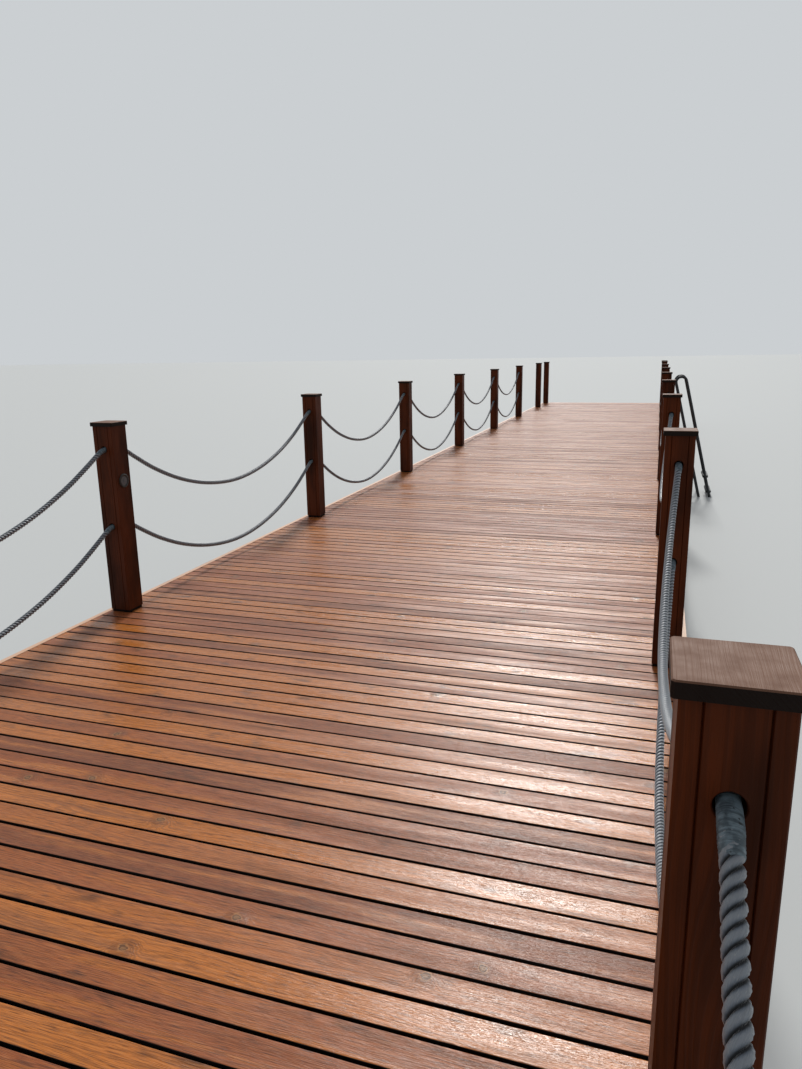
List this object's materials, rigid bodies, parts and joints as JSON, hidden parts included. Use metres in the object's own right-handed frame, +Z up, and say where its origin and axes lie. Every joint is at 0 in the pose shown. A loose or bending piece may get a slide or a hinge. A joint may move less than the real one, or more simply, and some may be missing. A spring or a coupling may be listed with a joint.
{
  "type": "wooden jetty",
  "caption": "Wooden jetty: a boarded deck on piles with boxed rail posts, slack ropes between them, a round post light and a bent-tube bathing ladder.",
  "frame": {"origin": "middle of the whole width and length, at the water line where the piles end", "axes": "+Y along the deck to the jetty head, +X to the right-hand side, +Z up"},
  "size_m": [3.755, 23.926, 1.6],
  "materials": {
    "deck_boards": "satin oiled softwood",
    "post_timber": "satin stained softwood",
    "cap_timber": "weathered",
    "fascia_timber": "satin, worn pale on top",
    "frame_timber": "rough sawn",
    "rope": "three-strand, weathered",
    "ladder_metal": "satin dark",
    "tread_metal": "satin dark",
    "light_ring": "satin dark",
    "light_lens": "frosted"
  },
  "bodies": {
    "root": {"deck": "deck_boards", "joists": "frame_timber", "bearers": "frame_timber", "piles": "frame_timber", "fascia_shore": "fascia_timber", "fascia_head": "fascia_timber", "fascia_left": "fascia_timber", "fascia_right": "fascia_timber", "posts_left": "post_timber", "posts_right": "post_timber", "post_caps_left": "cap_timber", "post_caps_right": "cap_timber", "ladder_sides": "ladder_metal", "ladder_arms": "ladder_metal", "ladder_treads": "tread_metal", "light_ring": "light_ring", "light_lens": "light_lens", "rope_left_upper_1": "rope", "rope_left_upper_2": "rope", "rope_left_upper_3": "rope", "rope_left_upper_4": "rope", "rope_left_upper_5": "rope", "rope_left_upper_6": "rope", "rope_left_upper_7": "rope", "rope_left_lower_1": "rope", "rope_left_lower_2": "rope", "rope_left_lower_3": "rope", "rope_left_lower_4": "rope", "rope_left_lower_5": "rope", "rope_left_lower_6": "rope", "rope_left_lower_7": "rope", "rope_right_upper_1": "rope", "rope_right_upper_2": "rope", "rope_right_upper_3": "rope", "rope_right_upper_4": "rope", "rope_right_upper_6": "rope", "rope_right_upper_7": "rope", "rope_right_lower_1": "rope", "rope_right_lower_2": "rope", "rope_right_lower_3": "rope", "rope_right_lower_4": "rope", "rope_right_lower_6": "rope", "rope_right_lower_7": "rope"}
  },
  "joints": []
}
